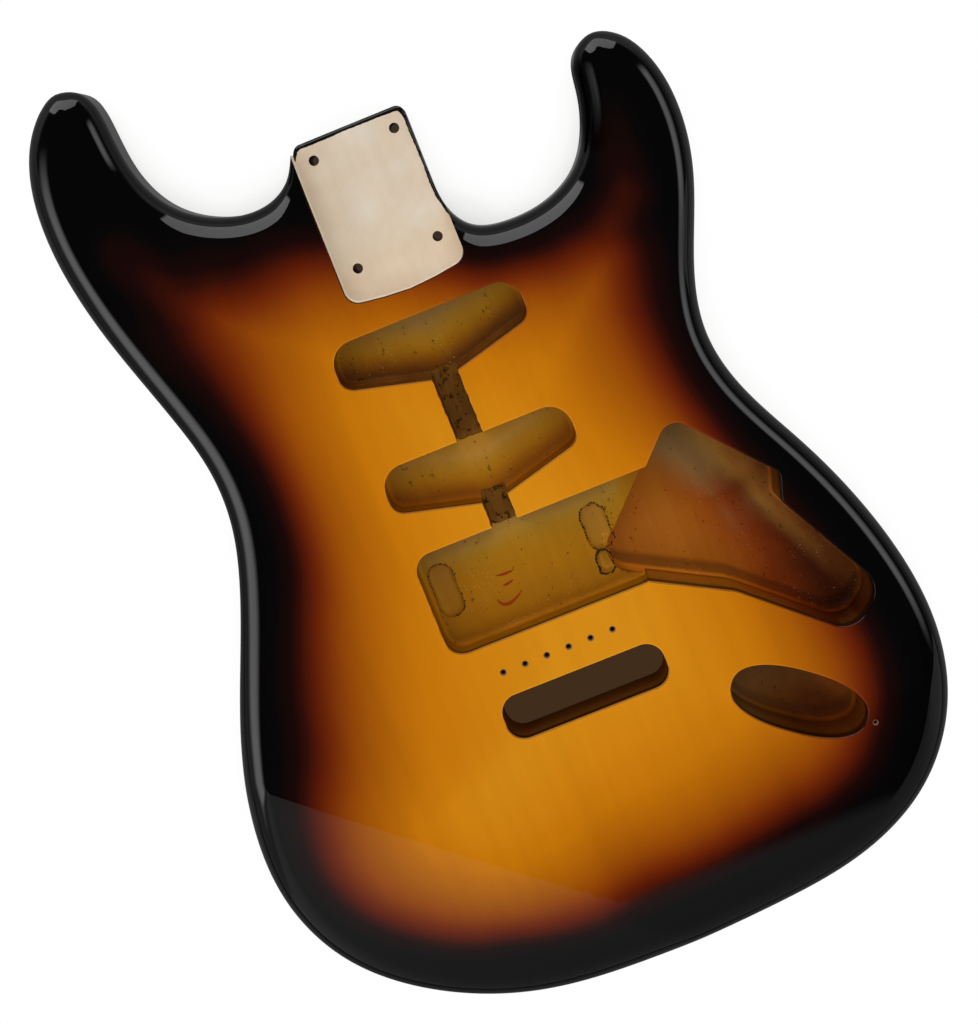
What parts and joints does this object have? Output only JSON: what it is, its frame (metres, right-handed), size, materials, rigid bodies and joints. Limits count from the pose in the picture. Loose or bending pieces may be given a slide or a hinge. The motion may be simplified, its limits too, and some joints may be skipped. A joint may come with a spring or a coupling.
{
  "type": "electric guitar body",
  "caption": "Bare solid electric guitar body with two offset cutaways, contoured edges, a bolt-on neck pocket, pickup and control cavities and a tremolo slot, in glossy sunburst.",
  "frame": {"origin": "on the body's centreline at the square inner end of the neck pocket, in the plane of the flat back face", "axes": "+X to the treble side, +Y along the centreline to the neck, +Z out of the top face"},
  "size_m": [0.3246, 0.4623, 0.0445],
  "materials": {
    "sunburst_wood": "thick clear gloss over an amber to red to black sunburst; bare and overspray-dusted wood in the cavities"
  },
  "bodies": {
    "root": {"bass_horn_wing": "sunburst_wood", "bass_bout_wing": "sunburst_wood", "bass_board": "sunburst_wood", "centre_board": "sunburst_wood", "treble_board": "sunburst_wood"}
  },
  "joints": []
}
